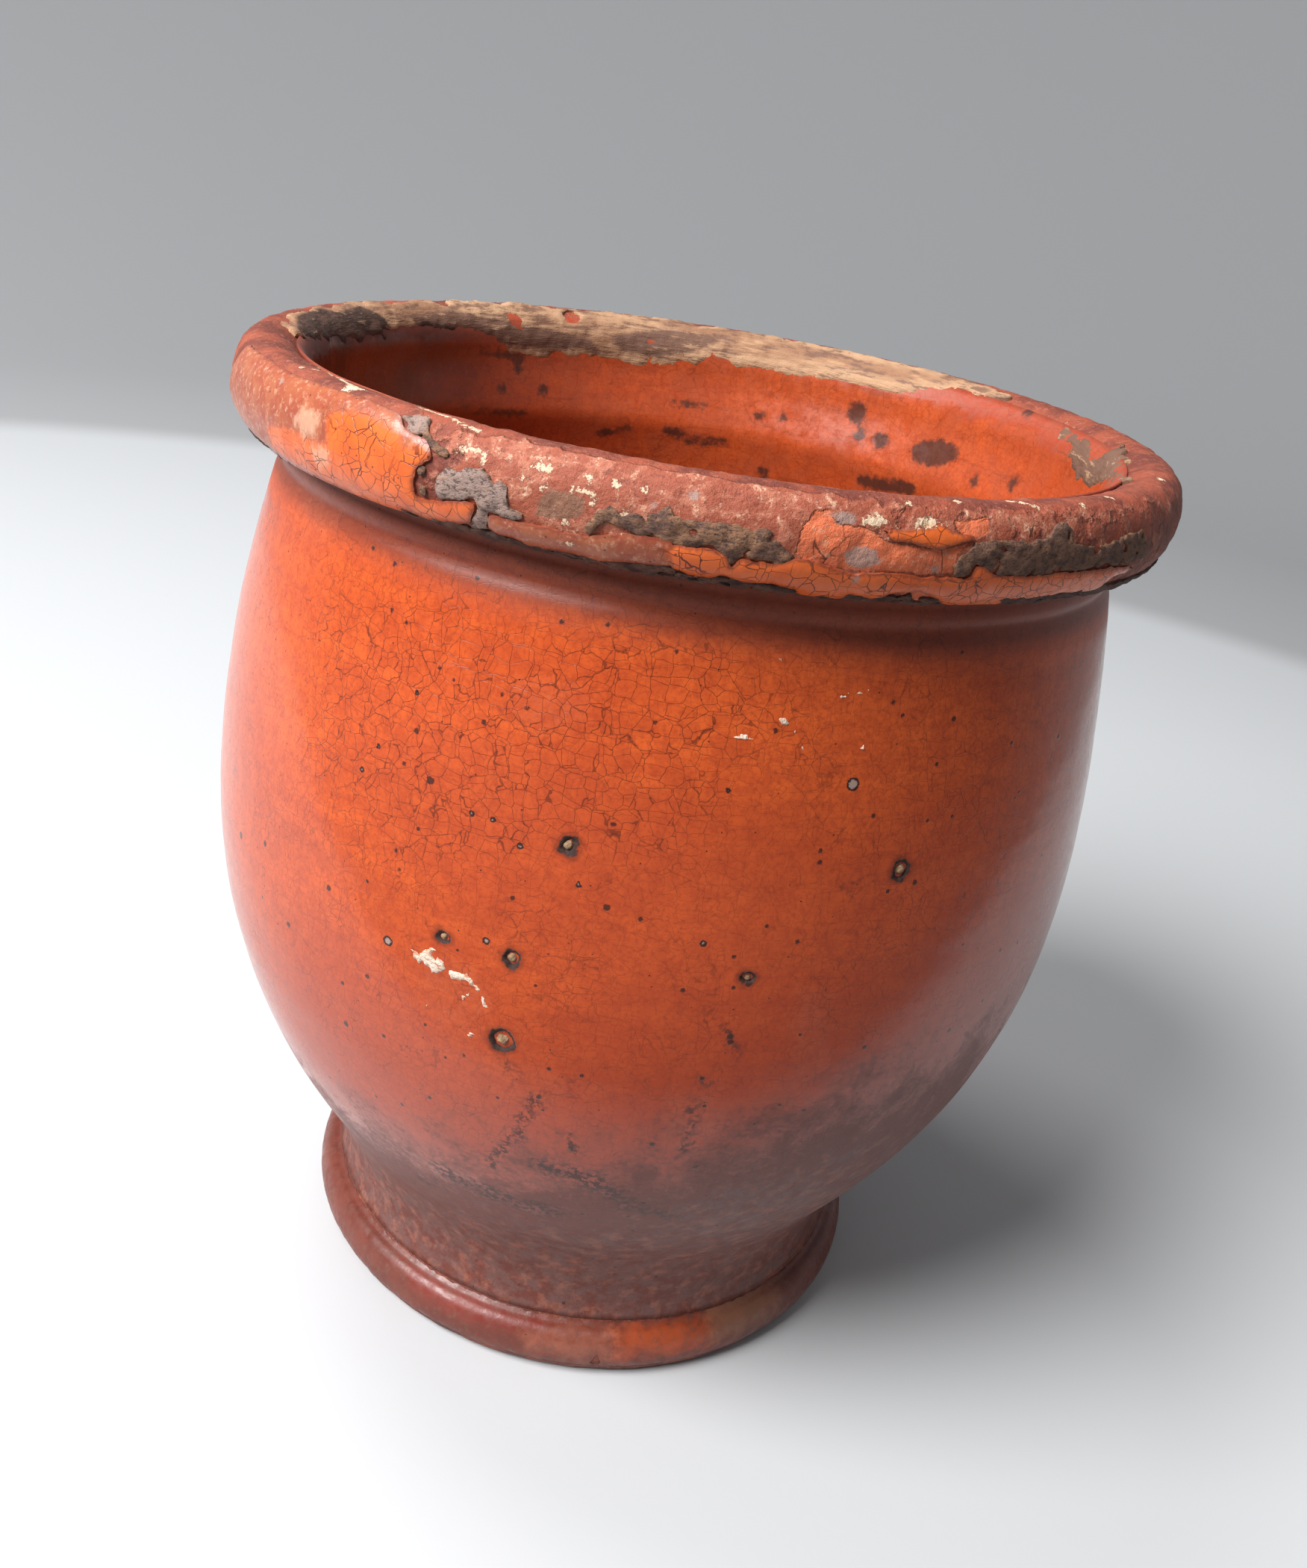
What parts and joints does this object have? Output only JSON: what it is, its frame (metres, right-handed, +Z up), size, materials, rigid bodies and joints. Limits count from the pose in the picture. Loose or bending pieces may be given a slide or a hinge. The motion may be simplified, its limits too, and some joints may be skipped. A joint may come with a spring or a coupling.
{
  "type": "salt jar",
  "caption": "Footed red earthenware jar with an open mouth and a thick rolled rim, glazed inside and out and worn bare along the lip, for keeping salt within reach.",
  "frame": {"origin": "middle of the foot's flat underside", "axes": "+Z up along the axis that the jar was turned on, -Y towards the side with the largest burst pit and the lime flakes"},
  "size_m": [0.1278, 0.1282, 0.1386],
  "materials": {
    "fired_clay": "bare fired red clay, dull and worn",
    "outer_glaze": "glossy clear lead glaze over red clay, finely crazed and speckled",
    "inner_glaze": "glossy lead glaze with dark turning streaks",
    "rim_glaze": "crazed orange glaze with chipped edges",
    "foot_glaze": "thin satin glaze, rubbed",
    "rim_scale": "rough grey brown mineral scale",
    "edge_scale": "rough dark scale",
    "lip_scale": "chalky tan scale",
    "lime": "chalky white lime",
    "grit": "rough pale stone"
  },
  "bodies": {
    "root": {"clay_body": "fired_clay", "outer_glaze": "outer_glaze", "inner_glaze": "inner_glaze", "rim_glaze": "rim_glaze", "foot_glaze": "foot_glaze", "rim_scale_patches": "rim_scale", "edge_scale": "edge_scale", "lip_scale_patches": "lip_scale", "lime_flakes": "lime", "grit_stones": "grit"}
  },
  "joints": []
}
